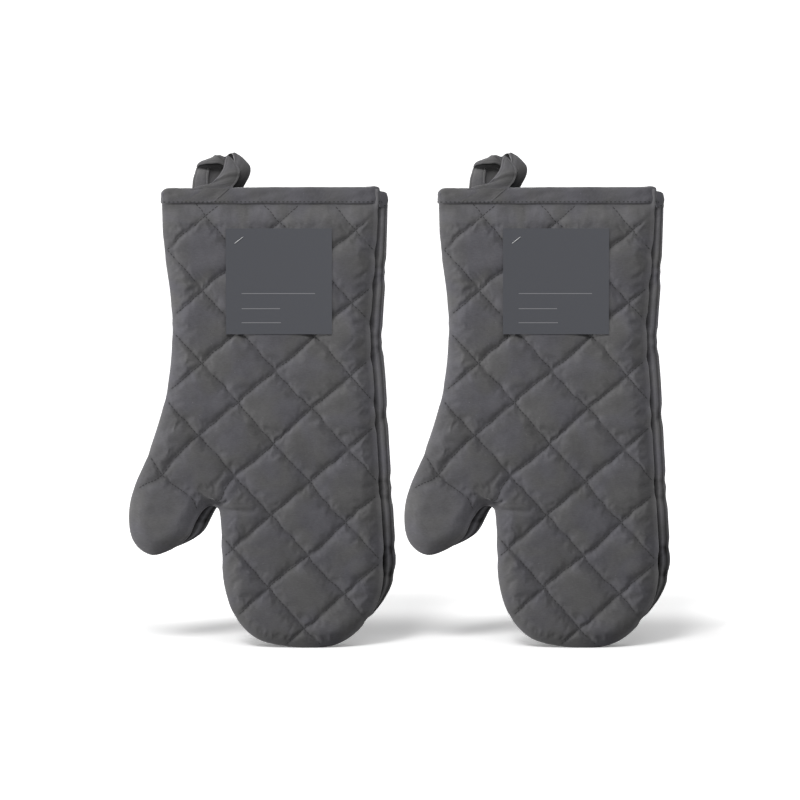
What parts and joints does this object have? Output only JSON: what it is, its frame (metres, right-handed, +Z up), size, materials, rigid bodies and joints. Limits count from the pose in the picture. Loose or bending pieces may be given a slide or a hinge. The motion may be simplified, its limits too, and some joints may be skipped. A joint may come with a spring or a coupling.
{
  "type": "pair of oven mitts",
  "caption": "Quilted cotton oven mitts with a thumb, a bound cuff, a hanging loop and a square header card, standing side by side on their fingertips.",
  "frame": {"origin": "under the middle of the pair, on the surface that the fingertips stand on", "axes": "+X runs to the right along the pair, +Y into the depth from the front halves to the back halves, +Z up towards the cuffs"},
  "size_m": [0.3881, 0.0332, 0.3525],
  "materials": {
    "quilted_cotton": "charcoal plain-weave cotton, quilted in diamonds, matt",
    "binding_cotton": "charcoal cotton bias strip, matt, edge-stitched",
    "lining_cotton": "charcoal cotton lining, matt",
    "cotton_wadding": "undyed cotton batting",
    "dark_board": "dark grey printed board, satin",
    "white_nylon": "translucent white nylon"
  },
  "bodies": {
    "left_mitt": {"left_front_cover": "quilted_cotton", "left_front_batting": "cotton_wadding", "left_front_lining": "lining_cotton", "left_back_cover": "quilted_cotton", "left_back_batting": "cotton_wadding", "left_back_lining": "lining_cotton", "left_cuff_binding": "binding_cotton", "left_tag_pin": "white_nylon"},
    "left_loop": {"left_hanging_loop": "binding_cotton"},
    "left_card": {"left_header_card": "dark_board"},
    "right_mitt": {"right_front_cover": "quilted_cotton", "right_front_batting": "cotton_wadding", "right_front_lining": "lining_cotton", "right_back_cover": "quilted_cotton", "right_back_batting": "cotton_wadding", "right_back_lining": "lining_cotton", "right_cuff_binding": "binding_cotton", "right_tag_pin": "white_nylon"},
    "right_loop": {"right_hanging_loop": "binding_cotton"},
    "right_card": {"right_header_card": "dark_board"}
  },
  "joints": [
    {"name": "left_loop_flop", "type": "hinge", "parent": "left_mitt", "child": "left_loop", "pos_m": [-0.12765, -0.00685, 0.3306], "axis": [1, 0, 0], "range_deg": [-50, 75]},
    {"name": "left_card_swing", "type": "hinge", "parent": "left_mitt", "child": "left_card", "pos_m": [-0.1148, -0.015, 0.2925], "axis": [0, 1, 0], "range_deg": [-45, 90]},
    {"name": "right_loop_flop", "type": "hinge", "parent": "right_mitt", "child": "right_loop", "pos_m": [0.06935, -0.00685, 0.3306], "axis": [1, 0, 0], "range_deg": [-50, 75]},
    {"name": "right_card_swing", "type": "hinge", "parent": "right_mitt", "child": "right_card", "pos_m": [0.0822, -0.015, 0.2925], "axis": [0, 1, 0], "range_deg": [-45, 90]},
    {"name": "right_mitt_lift", "type": "slide", "parent": "left_mitt", "child": "right_mitt", "axis": [0, 0, 1], "range_m": [0, 0.25]}
  ]
}
